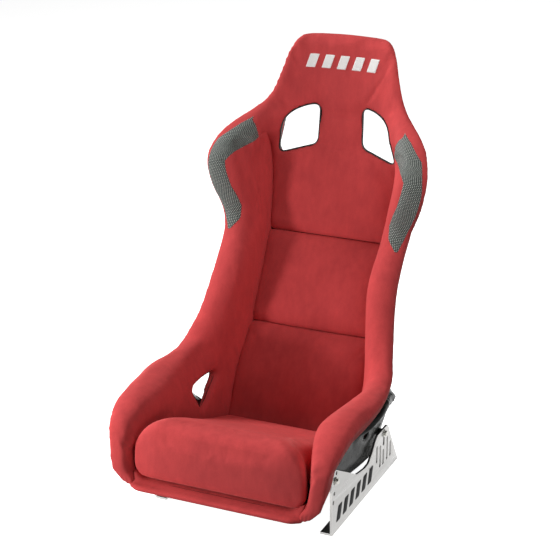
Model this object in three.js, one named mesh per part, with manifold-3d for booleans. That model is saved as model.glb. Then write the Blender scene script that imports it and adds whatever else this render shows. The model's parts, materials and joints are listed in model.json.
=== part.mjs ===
// A fixed-back racing bucket seat on a pair of side mounts, in millimetres.
// +Z is up, the seat faces -Y and +X is the sitter's left. The origin is under the middle of the seat, on the
// floor.
//
// The shell, the padding and the bolsters share one set of stations along the seat's centre line. A station
// is a plane across the seat, and holds a half section: the padded face from the centre line over the bolster
// to the rim, and the shell's inner face below it.
import * as THREE from "three";
import { mergeVertices } from "three/addons/utils/BufferGeometryUtils.js";
import Module from "manifold-3d";

const wasm = await Module();
wasm.setup();

// Driving dimensions.
const SHELL_T = 4; // wall of the glass-fibre shell
const GAP = 0.5; // room between neighbouring pieces
const BED_GAP = 1; // room between the padding and the shell
const MOUNT_X = 215; // outer face of a side mount's plate
const PLATE_T = 5;
const COVER_T = 7; // thickness of the cover and its foam where they end on the outside of the shell
const FLANGE_W = 28; // foot flange, turned inwards under the seat
const FOOT_FRONT = -200;
const MOUNT_REAR = 207;
const WALL_X = 198; // inner face of the shell's upright side wall
const FRONT_BOLT = { y: -183, z: 125 };
const REAR_BOLT = { y: 112, z: 108 };
const BOLT_R = 4; // M8
const HOLE_R = 4.6;
const TILT = 5; // degrees; how far the seat tilts back on its front bolts
const PIN_SIDES = 20;
const TOP_BOW = 9; // how far the head's top edge bows up between its corners
const NOSE_FOAM = 8; // extra padding under the two front corners

const COLOURS = {
  red: new THREE.MeshStandardMaterial({ color: 0xb3262e, roughness: 0.95 }),
  mesh: new THREE.MeshStandardMaterial({ color: 0x3a4240, roughness: 0.8 }),
  gelcoat: new THREE.MeshStandardMaterial({ color: 0x121413, roughness: 0.25 }),
  trim: new THREE.MeshStandardMaterial({ color: 0x1c1f1e, roughness: 0.6 }),
  alloy: new THREE.MeshStandardMaterial({ color: 0xd8d6d2, roughness: 0.25, metalness: 1 }),
  steel: new THREE.MeshStandardMaterial({ color: 0xb9bab8, roughness: 0.3, metalness: 1 }),
  hook: new THREE.MeshStandardMaterial({ color: 0x151515, roughness: 1 }),
};

// Stations from the front lip, back along the pan, round the hip and up the back to the head.
//   y, z    the padded face on the centre line; along the pan, the shell's inner face
//   lean    the plane's tilt from upright, towards the front, in degrees
//   seam    half-width of the centre panel; lift: how far its edge stands above the centre line
//   belly   x of the bolster's inner wall, a little over halfway up
//   inner, outer, rise: the crest's two edges and its height
//   foam    padding under the centre line; floor, wall: half-width of the shell's bottom and of its side
//   join    where the cover ends on the shell's outside, as a share of the way from the middle to the rim
const FIELDS = "y z lean seam lift belly inner outer rise foam floor wall join".split(" ");
const SIZES = [
  [-338, 112, 0, 205, 8, 219, 222, 244, 18, 0, 190, 212, 0.93],
  [-334, 112, 0, 205, 8, 217, 220, 253, 55, 0, 190, 216, 0.85],
  [-322, 112, 0, 205, 8, 214, 218, 261, 109, 0, 190, 218, 0.75],
  [-300, 110, 0, 198, 8, 208, 212, 268, 134, 0, 190, 216, 0.7],
  [-265, 104, 0, 190, 8, 198, 200, 274, 164, 0, 186, 208, 0.72],
  [-228, 98, 0, 182, 8, 187, 191, 275, 178, 0, 182, 200, 0.79],
  [-206, 95, 1, 179, 8, 183, 190, 276, 185, 0, 181, 198, 0.88],
  [-150, 84, 4, 178, 8, 182, 194, 279, 198, 0, 180, 198, 0.9],
  [-90, 73, 7, 178, 8, 182, 204, 283, 211, 0, 180, 198, 0.9],
  [-30, 63, 11, 178, 8, 182, 211, 281, 223, 0, 180, 198, 0.9],
  [25, 59, 16, 176, 8, 182, 216, 276, 230, 3, 180, 198, 0.9],
  [68, 72, 21, 171, 6, 182, 217, 272, 225, 21, 180, 198, 0.9],
  [88, 108, 25, 168, 4, 182, 216, 268, 196, 53, 182, 198, 0.9],
  [101, 155, 30, 166, 3, 184, 212, 266, 157, 78, 182, 198, 0.89],
  [118, 205, 40, 163, 2, 182, 206, 262, 126, 76, 180, 203, 0.88],
  [145, 252, 53, 158, 4, 176, 198, 255, 116, 58, 170, 200, 0.88],
  [179, 302, 60, 152, 6, 164, 182, 242, 117, 42, 160, 190, 0.88],
  [232, 404, 63, 149, 8, 152, 159, 228, 119, 30, 152, 181, 0.88],
  [284, 503, 66, 150, 8, 156, 171, 230, 99, 27, 150, 182, 0.88],
  [316, 585, 80, 157, 8, 168, 186, 258, 132, 26, 156, 196, 0.88],
  [336, 655, 86, 164, 13, 181, 197, 272, 157, 26, 160, 208, 0.88],
  [347, 700, 89, 164, 38, 180, 200, 272, 157, 26, 158, 206, 0.88],
  [352, 735, 90, 160, 62, 172, 196, 259, 133, 26, 150, 192, 0.88],
  [356, 768, 90, 154, 58, 168, 184, 229, 90, 26, 132, 170, 0.88],
  [358, 798, 91, 142, 34, 153, 160, 187, 52, 26, 112, 144, 0.88],
  [361, 828, 88, 128, 20, 136, 140, 164, 33, 26, 98, 126, 0.88],
  [366, 872, 85, 116, 13, 124, 127, 148, 25, 26, 88, 114, 0.88],
  [373, 915, 82, 104, 8, 112, 115, 137, 17, 25, 78, 104, 0.88],
  [379, 957, 79, 92, 1, 100, 104, 118, 5, 22, 70, 92, 0.88],
];
const STATIONS = SIZES.map((row) => Object.fromEntries(FIELDS.map((field, i) => [field, row[i]])));
const LAST = STATIONS.length - 1;
const NOSE_END = 1.8; // the station of the shell's front edge
const CROWN = 27; // the station of the shell's top edge
const HIP = 11; // the station where the back padding starts
const SHOULDER = 22; // the station where the bolsters end and the head padding spreads to the rim

// The station at a whole or part number, each field on a smooth curve through the values of the whole ones.
function stationAt(u) {
  const i = Math.min(Math.floor(u), LAST - 1);
  const t = u - i;
  const made = {};
  for (const field of FIELDS) {
    const at = (k) => STATIONS[THREE.MathUtils.clamp(k, 0, LAST)][field];
    const [a, b] = [at(i), at(i + 1)];
    const startSlope = (b - at(i - 1)) / 2;
    const endSlope = (at(i + 2) - a) / 2;
    made[field] =
      a * (1 + 2 * t) * (1 - t) ** 2 + startSlope * t * (1 - t) ** 2 +
      b * (3 - 2 * t) * t * t - endSlope * t * t * (1 - t);
  }
  return made;
}

// The head's top edge is bowed: over the last stretch the sections rise in the middle.
const BOW_START = STATIONS[LAST - 1].z;
const BOW_LENGTH = STATIONS[LAST].z - BOW_START;

// A point of a station's plane: x across the seat, n up from the centre line.
function place(station, x, n) {
  const lean = THREE.MathUtils.degToRad(station.lean);
  const bowShare = THREE.MathUtils.clamp((station.z - BOW_START) / BOW_LENGTH, 0, 1);
  const bow = TOP_BOW * bowShare * (1 - (x / station.outer) ** 2);
  return new THREE.Vector3(x, station.y - n * Math.sin(lean), station.z + n * Math.cos(lean) + bow);
}

// Points along a smooth line through 2-D points, with a number of steps for each stretch.
function smooth(points, steps) {
  const curve = new THREE.CatmullRomCurve3(points.map(([x, n]) => new THREE.Vector3(x, n, 0)));
  const line = [];
  for (let i = 0; i <= (points.length - 1) * steps; i++) {
    const p = curve.getPoint(i / ((points.length - 1) * steps));
    line.push([p.x, p.y]);
  }
  return line;
}

// The padded face of the centre panel, from the centre line to the seam.
function panelLine(s, steps = 2) {
  const line = [
    [0, 0],
    [0.42 * s.seam, 0.04 * s.lift],
    [0.8 * s.seam, 0.55 * s.lift],
    [s.seam, s.lift],
  ];
  return smooth(line, steps);
}

// The padded face of the bolster, from the seam over the crest to the rim.
function bolsterLine(s, steps = 1) {
  const [height, width] = [s.rise - s.lift, s.outer - s.inner];
  const small = Math.min(width, height);
  const line = [
    [s.seam, s.lift],
    [0.4 * s.seam + 0.6 * s.belly, s.lift + 0.28 * height],
    [s.belly, s.lift + 0.58 * height],
    [s.inner, s.rise - 0.18 * small],
    [s.inner + 0.22 * width, s.rise - 0.03 * small],
    [s.inner + 0.6 * width, s.rise + 0.02 * small],
    [s.outer - 0.06 * width, s.rise - 0.08 * small],
    [s.outer, s.rise - 0.2 * small],
    [s.outer - 0.16 * width, s.rise - 0.42 * small],
  ];
  return smooth(line, steps);
}

// A line that starts on the centre line or a seam, moved down and outwards.
function moved(line, out) {
  return line.map((p, i) => {
    const before = line[Math.max(i - 1, 0)];
    const after = line[Math.min(i + 1, line.length - 1)];
    const along = new THREE.Vector2(after[0] - before[0], after[1] - before[1]).normalize();
    return [p[0] ? p[0] + out * along.y : 0, p[1] - out * along.x];
  });
}

// The shell's inner face from the centre line to its rim, which is buried in the bolster. A line further out
// is the same line moved outwards by that much.
function shellLine(s, out = 0) {
  const width = s.outer - s.inner;
  const depth = Math.min(width, s.rise - s.lift + 12);
  const rim = [s.inner + 0.6 * width, s.rise - 0.42 * depth];
  const bottom = -s.foam;
  const height = rim[1] - bottom;
  const line = smooth(
    [
      [0, bottom],
      [0.5 * s.floor, bottom],
      [s.floor - 12, bottom + 0.5],
      [s.floor + 0.62 * (s.wall - s.floor), bottom + Math.min(12, 0.16 * height)],
      [s.wall, bottom + Math.min(34, 0.34 * height)],
      [s.wall + 0.12 * (rim[0] - s.wall), bottom + 0.6 * height],
      [s.wall + 0.55 * (rim[0] - s.wall), bottom + 0.83 * height],
      rim,
    ],
    2,
  );
  return out ? moved(line, out) : line;
}

// The point of a line at a whole or part number of its points.
function pointAt(line, u) {
  const i = Math.min(Math.floor(u), line.length - 2);
  return [0, 1].map((c) => line[i][c] + (u - i) * (line[i + 1][c] - line[i][c]));
}

// A line's points with those before one place and after another drawn in to them, so that the count stays.
function kept(line, from, to) {
  return line.map((_, i) => pointAt(line, THREE.MathUtils.clamp(i, from, to)));
}

// Where a line reaches a share of its length, and where it passes a half-width.
function indexAtShare(line, share) {
  const steps = line.slice(1).map((p, i) => Math.hypot(p[0] - line[i][0], p[1] - line[i][1]));
  let left = share * steps.reduce((a, b) => a + b, 0);
  for (let i = 0; i < steps.length; i++) {
    if (left <= steps[i]) return i + left / steps[i];
    left -= steps[i];
  }
  return steps.length;
}

function indexAtX(line, x) {
  const i = line.findIndex((p) => p[0] > x) - 1;
  return i + (x - line[i][0]) / (line[i + 1][0] - line[i][0]);
}

// One closed solid between a row of rings, each a list of 2-D points with its station.
function loft(rings) {
  const count = rings[0].ring.length;
  const points = rings.flatMap((made) => made.points ?? made.ring.map(([x, n]) => place(made.station, x, n)));
  const faces = [];
  for (let i = 0; i < rings.length - 1; i++) {
    for (let j = 0; j < count; j++) {
      const [a, b] = [i * count + j, i * count + ((j + 1) % count)];
      faces.push([a, b, a + count], [b, b + count, a + count]);
    }
  }
  const cap = (k, flip) => {
    const outline = rings[k].ring.map(([x, n]) => new THREE.Vector2(x, n));
    const turn = flip !== THREE.ShapeUtils.isClockWise(outline);
    for (const [a, b, c] of THREE.ShapeUtils.triangulateShape(outline, [])) {
      faces.push([k * count + a, k * count + (turn ? c : b), k * count + (turn ? b : c)]);
    }
  };
  cap(0, true);
  cap(rings.length - 1, false);
  const geometry = new THREE.BufferGeometry().setFromPoints(points);
  geometry.setIndex(faces.flat());
  return solid(geometry);
}

// A geometry as a solid, turned to face out.
function solid(geometry) {
  const plain = geometry.clone();
  plain.deleteAttribute("normal");
  plain.deleteAttribute("uv");
  const merged = mergeVertices(plain, 1e-4);
  const vertProperties = new Float32Array(merged.attributes.position.array);
  const corners = merged.index.array;
  const whole = [];
  for (let i = 0; i < corners.length; i += 3) {
    const [a, b, c] = corners.slice(i, i + 3);
    if (a !== b && b !== c && c !== a) whole.push(a, b, c);
  }
  const triVerts = new Uint32Array(whole);
  let made = new wasm.Manifold(new wasm.Mesh({ numProp: 3, vertProperties, triVerts }));
  if (made.volume() < 0) {
    for (let i = 0; i < triVerts.length; i += 3) {
      [triVerts[i + 1], triVerts[i + 2]] = [triVerts[i + 2], triVerts[i + 1]];
    }
    made = new wasm.Manifold(new wasm.Mesh({ numProp: 3, vertProperties, triVerts }));
  }
  return made;
}

function geometryOf(made) {
  const mesh = made.simplify(0.02).getMesh();
  const points = [];
  for (let i = 0; i < mesh.numVert; i++) points.push(...mesh.vertProperties.slice(3 * i, 3 * i + 3));
  const geometry = new THREE.BufferGeometry();
  geometry.setAttribute("position", new THREE.Float32BufferAttribute(points, 3));
  geometry.setIndex(Array.from(mesh.triVerts));
  return geometry;
}

const seat = new THREE.Group();

function addNode(name, made, material) {
  const mesh = new THREE.Mesh(geometryOf(made), material);
  mesh.name = name;
  seat.add(mesh);
  return mesh;
}

// A solid's mirror image across the seat's middle plane.
function mirrored(made) {
  return solid(geometryOf(made).applyMatrix4(new THREE.Matrix4().makeScale(-1, 1, 1)));
}

// A prism: an outline of [y, z] points, from x = from to x = to.
function prismX(outline, from, to, holes = []) {
  const shape = new THREE.Shape(outline.map(([y, z]) => new THREE.Vector2(y, z)));
  shape.holes = holes;
  const depth = to - from;
  const geometry = new THREE.ExtrudeGeometry(shape, { depth, bevelEnabled: false, curveSegments: 6 });
  geometry.applyMatrix4(new THREE.Matrix4().makeBasis(
    new THREE.Vector3(0, 1, 0), new THREE.Vector3(0, 0, 1), new THREE.Vector3(1, 0, 0),
  ));
  geometry.translate(from, 0, 0);
  return solid(geometry);
}

// A round bar along X.
function barX(radius, from, to, y, z, sides = PIN_SIDES) {
  const geometry = new THREE.CylinderGeometry(radius, radius, to - from, sides);
  geometry.rotateZ(Math.PI / 2);
  geometry.translate((from + to) / 2, y, z);
  return solid(geometry);
}

// Rings from one station to another and at every whole one between, from a function of a station.
function ringsBetween(from, to, ringOf, step = 1) {
  const numbers = [from];
  for (let u = step * (Math.floor(from / step) + 1); u < to - 0.005; u += step) numbers.push(u);
  numbers.push(to);
  return numbers.map((u) => ({ station: stationAt(u), ring: ringOf(stationAt(u)) }));
}

// ---- Openings ----

// An outline with its corners rounded, as [u, v] points.
function rounded(corners, radius, steps = 3) {
  const points = [];
  corners.forEach((corner, i) => {
    const here = new THREE.Vector2(...corner);
    const towards = (k) => new THREE.Vector2(...corners.at(k % corners.length)).sub(here);
    const [back, on] = [towards(i - 1), towards(i + 1)].map((v) => {
      return v.setLength(Math.min(radius, v.length() / 2));
    });
    const bend = new THREE.QuadraticBezierCurve(here.clone().add(back), here, here.clone().add(on));
    points.push(...bend.getPoints(steps).map((p) => [p.x, p.y]));
  });
  return points;
}

// The shoulder-belt slot in the seat's back, seen from the front, as [x, z] points on the +X side.
const SLOT_CORNERS = [[54, 796], [80, 794], [112, 781], [130, 762], [146, 678], [56, 704]];
const SLOT_ROUND = 13;
const BELT_SLOT_FRONT = 240;
const BELT_SLOT_BACK = 440;

// A prism from front to back with an [x, z] outline.
function prismY(outline, from, to) {
  const shape = new THREE.Shape(outline.map(([x, z]) => new THREE.Vector2(x, z)));
  const geometry = new THREE.ExtrudeGeometry(shape, { depth: to - from, bevelEnabled: false });
  geometry.applyMatrix4(new THREE.Matrix4().makeBasis(
    new THREE.Vector3(1, 0, 0), new THREE.Vector3(0, 0, 1), new THREE.Vector3(0, 1, 0),
  ));
  geometry.translate(0, from, 0);
  return solid(geometry);
}

// An outline grown by a margin about its middle.
function grown(corners, margin) {
  const mid = corners.reduce(([a, b], [x, z]) => [a + x / corners.length, b + z / corners.length], [0, 0]);
  return corners.map(([x, z]) => {
    const away = new THREE.Vector2(x - mid[0], z - mid[1]);
    away.setLength(away.length() + margin);
    return [mid[0] + away.x, mid[1] + away.y];
  });
}

const SLOT_TRIM_T = 2.5;
const beltSlot = (margin) =>
  prismY(rounded(grown(SLOT_CORNERS, margin), SLOT_ROUND + margin), BELT_SLOT_FRONT, BELT_SLOT_BACK);
const slotHole = beltSlot(0);
const trimRoom = beltSlot(SLOT_TRIM_T + 2 * GAP);
const trimRooms = trimRoom.add(mirrored(trimRoom));

// The lap-belt opening in the side of the hip, as [y, z] points.
const LAP_CORNERS = [[-46, 207], [50, 213], [104, 202], [128, 172], [56, 124], [-14, 158]];
const LAP_ROUND = 20;
const lapHole = prismX(rounded(LAP_CORNERS, LAP_ROUND), 150, 300);
const lapHoles = lapHole.add(mirrored(lapHole));

// Clearance for the four bolts, the inserts and whatever lies in their line.
const bolts = [["front", FRONT_BOLT], ["rear", REAR_BOLT]];
const INSERT = { r: 10, from: WALL_X - 6.5, to: WALL_X - 2 };
const insertRoom = bolts
  .map(([, at]) => barX(INSERT.r + 1.5, INSERT.from - 1.5, WALL_X + 0.5, at.y, at.z))
  .reduce((a, b) => a.add(b));
const boltRoom = bolts
  .map(([, at]) => barX(HOLE_R, WALL_X - 30, MOUNT_X + 5, at.y, at.z, 16))
  .reduce((a, b) => a.add(b));
const bothSides = (made) => made.add(mirrored(made));

// ---- The shell ----

function fullWidth(half) {
  return [...half.slice(1).reverse().map(([x, n]) => [-x, n]), ...half];
}

// The shell's wall in section, or the room it needs in the padding, which is larger all round.
function wallRing(s, room = 0) {
  const half = (out) => {
    const line = shellLine(s, out);
    const [before, last] = line.slice(-2).map(([x, n]) => new THREE.Vector2(x, n));
    const end = last.clone().add(last.clone().sub(before).setLength(2 * room + 0.01));
    return fullWidth([...line.slice(0, -1), [end.x, end.y]]);
  };
  return [...half(-room), ...half(SHELL_T + room).reverse()];
}

const shellRoom = bothSides(loft(ringsBetween(NOSE_END + 0.04, CROWN - 0.05, (s) => wallRing(s, BED_GAP))));
const shellBody = loft(ringsBetween(NOSE_END + 0.14, CROWN - 0.1, (s) => wallRing(s)));
const shellCuts = [trimRooms, lapHoles, bothSides(boltRoom)];
addNode("shell", shellCuts.reduce((made, cut) => made.subtract(cut), shellBody), COLOURS.gelcoat);

// ---- Padding ----
// Each pad is made down to the middle of the shell's wall, then the shell's room is taken out of it.

function middleLine(s, from, to) {
  const line = shellLine(s, SHELL_T / 2);
  return kept(line, from === 0 ? 0 : indexAtX(line, from), to);
}

const joinIndex = (s) => indexAtShare(shellLine(s), s.join);

// How far a section is into the two front corners, where the foam is thicker: 0 behind them, 1 at the front.
const NOSE_FOAM_START = -265;
const NOSE_FOAM_LENGTH = 40;
const noseShare = (s) => THREE.MathUtils.clamp((NOSE_FOAM_START - s.y) / NOSE_FOAM_LENGTH, 0, 1);

// The cover's outer face where it lies on the outside of the shell.
const coverLine = (s) => shellLine(s, SHELL_T + BED_GAP + COVER_T + NOSE_FOAM * noseShare(s));

// The bolster's outside, from the rim down to the hem, where the cover ends on the shell.
function hemLine(s) {
  const hem = pointAt(coverLine(s), joinIndex(s));
  const edge = bolsterLine(s).at(-1);
  const swell = noseShare(s);
  return [[(hem[0] + edge[0]) / 2 + 2 + 6 * swell, (hem[1] + edge[1]) / 2 - 2 * swell], hem];
}

function bolsterRing(s) {
  return [...bolsterLine(s), ...hemLine(s), ...middleLine(s, s.seam, joinIndex(s)).reverse()];
}

// In front of the shell's edge the bolster goes down to the hem under the pan.
function noseRing(s) {
  const line = coverLine(s);
  const under = kept(line, indexAtX(line, s.seam), joinIndex(s)).reverse();
  return [...bolsterLine(s), ...hemLine(s), ...under];
}

const bolsterRings = [
  ...ringsBetween(0, NOSE_END, noseRing, 0.5),
  ...ringsBetween(NOSE_END + 0.02, SHOULDER - 0.01, bolsterRing),
];
const bolster = loft(bolsterRings)
  .subtract(shellRoom)
  .subtract(lapHole)
  .subtract(insertRoom)
  .subtract(boltRoom);
addNode("side_bolster_left", bolster, COLOURS.red);
addNode("side_bolster_right", mirrored(bolster), COLOURS.red);

// A centre pad's section: the panel's face, and the shell's wall below it.
function padRing(s) {
  const edge = s.seam - GAP;
  const face = panelLine(s).map(([x, n]) => [Math.min(x, edge), n]);
  const line = shellLine(s, SHELL_T / 2);
  const bottom = kept(line, 0, indexAtX(line, edge));
  return [...fullWidth(face), ...fullWidth(bottom).reverse()];
}

// Where the two cross seams of the back lie, as stations.
const LOWER_SEAM = 16;
const UPPER_SEAM = 18;
const SPLIT = 0.01; // stations between two pads, which leaves the gap at a cross seam
const padBetween = (from, to) => loft(ringsBetween(from, to, padRing)).subtract(shellRoom);
addNode("lumbar_pad", padBetween(HIP, LOWER_SEAM - SPLIT), COLOURS.red);
addNode("middle_back_pad", padBetween(LOWER_SEAM, UPPER_SEAM - SPLIT), COLOURS.red);

// The head padding reaches the rim on both sides, so it takes the bolster's face and wrap as well.
function bothHalves(half) {
  return [...half, ...half.slice(1, -1).reverse().map(([x, n]) => [-x, n])];
}

function headRing(s) {
  const face = [...panelLine(s).slice(0, -1), ...bolsterLine(s)];
  return bothHalves([...face, ...hemLine(s), ...middleLine(s, 0, joinIndex(s)).reverse()]);
}

// Past the shell's top edge the head padding is solid from face to back.
function crownRing(s) {
  const line = shellLine(s, SHELL_T + BED_GAP + COVER_T);
  const face = [...panelLine(s).slice(0, -1), ...bolsterLine(s), ...hemLine(s)];
  return bothHalves([...face, ...kept(line, 0, joinIndex(s)).reverse()]);
}

const headRings = [
  ...ringsBetween(SHOULDER, CROWN, headRing),
  ...ringsBetween(CROWN + 0.02, LAST, crownRing, 0.5),
];
const upperPad = loft(ringsBetween(UPPER_SEAM, SHOULDER, padRing))
  .add(loft(headRings))
  .subtract(shellRoom)
  .subtract(trimRooms);
addNode("head_and_upper_back_pad", upperPad, COLOURS.red);

// ---- Shoulder mesh ----

// The patch on the shoulder wing: a station, and the two places on the bolster's face line it lies between.
const PATCH = [
  [17.75, 5.0, 5.35], [18.1, 3.8, 5.6], [18.5, 3.3, 5.7], [18.9, 3.45, 5.75], [19.3, 3.8, 5.8],
  [19.9, 4, 5.85], [20.5, 4.05, 5.75], [20.8, 3.6, 5.7], [21.2, 2.6, 5.65], [21.8, 1.2, 5.6],
  [22.1, 1.4, 5.3], [22.7, 2.4, 4.7], [23.2, 3.7, 3.95],
];
const PATCH_LIFT = 1.2;
const PATCH_T = 2;

function patchRing(u) {
  const k = Math.min(Math.max(1, PATCH.findIndex((row) => row[0] >= u)), PATCH.length - 1);
  const [a, b] = [PATCH[k - 1], PATCH[k]];
  const t = (u - a[0]) / (b[0] - a[0]);
  const [from, to] = [1, 2].map((c) => a[c] + t * (b[c] - a[c]));
  const i = Math.floor(u);
  const ringOf = (s) => [
    ...kept(moved(bolsterLine(s), -PATCH_LIFT - PATCH_T), from, to),
    ...kept(moved(bolsterLine(s), -PATCH_LIFT), from, to).reverse(),
  ];
  const [low, high] = [stationAt(i), stationAt(i + 1)];
  const above = ringOf(high).map(([x, n]) => place(high, x, n));
  const points = ringOf(low).map(([x, n], j) => place(low, x, n).lerp(above[j], u - i));
  return { station: low, ring: ringOf(low), points };
}

const wholes = [18, 19, 20, 21, 22, 23];
const patchStations = [...PATCH.map((row) => row[0]), ...wholes].sort((a, b) => a - b);
const patch = loft(patchStations.map(patchRing)).subtract(bolster).subtract(bothSides(upperPad));
addNode("shoulder_mesh_left", patch, COLOURS.mesh);
addNode("shoulder_mesh_right", mirrored(patch), COLOURS.mesh);

// ---- Front lip ----

const LIP_HALF = 201;
const LIP_OUTLINE = [
  [-306, 112.6], [-320, 114], [-333, 113], [-344, 107.5], [-350.5, 101], [-349, 95], [-341, 92.5], [-326, 93],
  [-306, 97],
];
const lip = prismX(LIP_OUTLINE, -LIP_HALF, LIP_HALF).subtract(shellRoom).subtract(bothSides(bolster));
addNode("front_lip_pad", lip, COLOURS.red);

// ---- Seat cushion ----

// Height of the pan's upper face at a place along the seat.
function panHeight(y) {
  const k = Math.max(1, STATIONS.findIndex((s) => s.y > y));
  const [a, b] = [STATIONS[k - 1], STATIONS[k]];
  return a.z + ((y - a.y) / (b.y - a.y)) * (b.z - a.z);
}

const STRIP_T = 1.5;
const CUSHION_UP = 2 * STRIP_T + 1.2; // how far the cushion's underside is above the pan, for the strips
// From the cushion's front to its back: a place, the height of its top there and its half-width.
const CUSHION = [
  [-323, 168, 170], [-321, 205, 194], [-314, 230, 203], [-302, 243, 200], [-284, 246, 193], [-265, 241, 185],
  [-228, 226, 177], [-206, 215, 174], [-150, 190, 173], [-90, 165, 172], [-30, 142, 171], [25, 121, 167],
  [46, 109, 156], [53, 97, 140],
];

function cushionRing([y, top, half]) {
  const bottom = panHeight(y) + CUSHION_UP;
  const round = Math.min(30, 0.4 * (top - bottom));
  const crest = Math.min(60, 0.45 * (top - bottom));
  const side = [
    [half - round, bottom], [half - 0.3 * round, bottom + 0.3 * round], [half, bottom + round],
    [half, top - crest], [half - 0.3 * crest, top - 0.3 * crest], [half - crest, top - 1], [0.4 * half, top],
  ];
  const ring = [...side, ...side.slice().reverse().map(([x, z]) => [-x, z])];
  return { ring, points: ring.map(([x, z]) => new THREE.Vector3(x, y, z)) };
}

const cushion = loft(CUSHION.map(cushionRing));
addNode("seat_cushion", cushion, COLOURS.red);

// Hook strips on the pan, loop strips on the cushion's underside, one pair on each side.
const STRIP = { from: -240, to: -30, inner: 70, outer: 120 };
[["hook_strip", 0.4], ["loop_strip", 0.8 + STRIP_T]].forEach(([name, up]) => {
  const places = [STRIP.from, -206, -150, -90, STRIP.to];
  const low = places.map((y) => [y, panHeight(y) + up]);
  const high = low.map(([y, z]) => [y, z + STRIP_T]).reverse();
  const strip = prismX([...low, ...high], STRIP.inner, STRIP.outer);
  addNode(`${name}_left`, strip, COLOURS.hook);
  addNode(`${name}_right`, mirrored(strip), COLOURS.hook);
});

// ---- Trims of the shoulder-belt slots ----

function slabRing(s) {
  const face = moved([...panelLine(s).slice(0, -1), ...bolsterLine(s)], -2);
  return [...face, ...shellLine(s, SHELL_T + 2.5).reverse()];
}

const slotTrim = beltSlot(SLOT_TRIM_T).subtract(slotHole).intersect(loft(ringsBetween(19, 25, slabRing)));
addNode("belt_slot_trim_left", slotTrim, COLOURS.trim);
addNode("belt_slot_trim_right", mirrored(slotTrim), COLOURS.trim);

// ---- Side mounts ----

// A round-ended slot in the plate, or a plain hole if it has one end only.
function plateHole(from, to = from, radius = HOLE_R) {
  const along = Math.atan2(to[1] - from[1], to[0] - from[0]);
  const hole = new THREE.Path();
  hole.absarc(to[0], to[1], radius, along - Math.PI / 2, along + Math.PI / 2);
  hole.absarc(from[0], from[1], radius, along + Math.PI / 2, along + 1.5 * Math.PI);
  return hole;
}

// Where the rear bolt goes as the seat tilts back on its front bolts.
const reach = new THREE.Vector2(REAR_BOLT.y - FRONT_BOLT.y, REAR_BOLT.z - FRONT_BOLT.z);
const tilted = reach.clone().rotateAround(new THREE.Vector2(), -THREE.MathUtils.degToRad(TILT));
const tiltedBolt = [FRONT_BOLT.y + tilted.x, FRONT_BOLT.z + tilted.y];

const PLATE_OUTLINE = [
  [FOOT_FRONT, 0], [-206, 138], [-200, 148], [-182, 151], [-58, 82], [-10, 74], [14, 75], [36, 90], [54, 110],
  [66, 118],
  [70, 120], [132, 120], [140, 113], [MOUNT_REAR, 0],
];
const FRONT_HOLES = [[-179, 142], [-190, 98], [-195, 78]];
const REAR_SLOTS = [
  [[66, 56], [66, 90]], [[88, 36], [88, 82]], [[108, 34], [108, 64]], [[133, 36], [133, 86]],
  [[154, 36], [154, 66]],
];
const plateHoles = [
  plateHole([FRONT_BOLT.y, FRONT_BOLT.z]),
  plateHole([REAR_BOLT.y, REAR_BOLT.z], tiltedBolt, HOLE_R + 0.3),
  ...FRONT_HOLES.map((at) => plateHole(at)),
  ...REAR_SLOTS.map(([from, to]) => plateHole(from, to)),
];
const plate = prismX(PLATE_OUTLINE, MOUNT_X - PLATE_T, MOUNT_X, plateHoles);
const footOutline = [[FOOT_FRONT, 0], [FOOT_FRONT, PLATE_T], [MOUNT_REAR - 3, PLATE_T], [MOUNT_REAR, 0]];
const foot = prismX(footOutline, MOUNT_X - FLANGE_W, MOUNT_X - PLATE_T / 2);
const mount = plate.add(foot);
addNode("side_mount_left", mount, COLOURS.alloy);
addNode("side_mount_right", mirrored(mount), COLOURS.alloy);

// ---- Bolts ----

const SHANK_END = WALL_X - 7;
const SPACER = { r: 9, from: WALL_X + SHELL_T + 1.5, to: MOUNT_X - PLATE_T - 0.3 };
const WASHER = { r: 9, from: MOUNT_X + 0.3, to: MOUNT_X + 1.9 };
const HEAD = { r: 7, from: MOUNT_X + 2.2, to: MOUNT_X + 7 };
const ringX = (size, at) =>
  barX(size.r, size.from, size.to, at.y, at.z).subtract(barX(HOLE_R, size.from - 1, size.to + 1, at.y, at.z));

for (const [name, at] of bolts) {
  const head = barX(HEAD.r, HEAD.from, HEAD.to, at.y, at.z, 6);
  const pieces = [
    ["bolt", head.add(barX(BOLT_R, SHANK_END, HEAD.from + 1, at.y, at.z)), COLOURS.steel],
    ["washer", ringX(WASHER, at), COLOURS.steel],
    ["spacer", ringX(SPACER, at), COLOURS.alloy],
    ["insert", ringX(INSERT, at), COLOURS.steel],
  ];
  for (const [kind, made, colour] of pieces) {
    addNode(`${kind}_${name}_left`, made, colour);
    addNode(`${kind}_${name}_right`, mirrored(made), colour);
  }
}

// Put the origin under the middle of the whole seat.
const middle = new THREE.Box3().setFromObject(seat).getCenter(new THREE.Vector3());
for (const mesh of seat.children) mesh.geometry.translate(0, -middle.y, 0);

export default seat;
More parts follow.
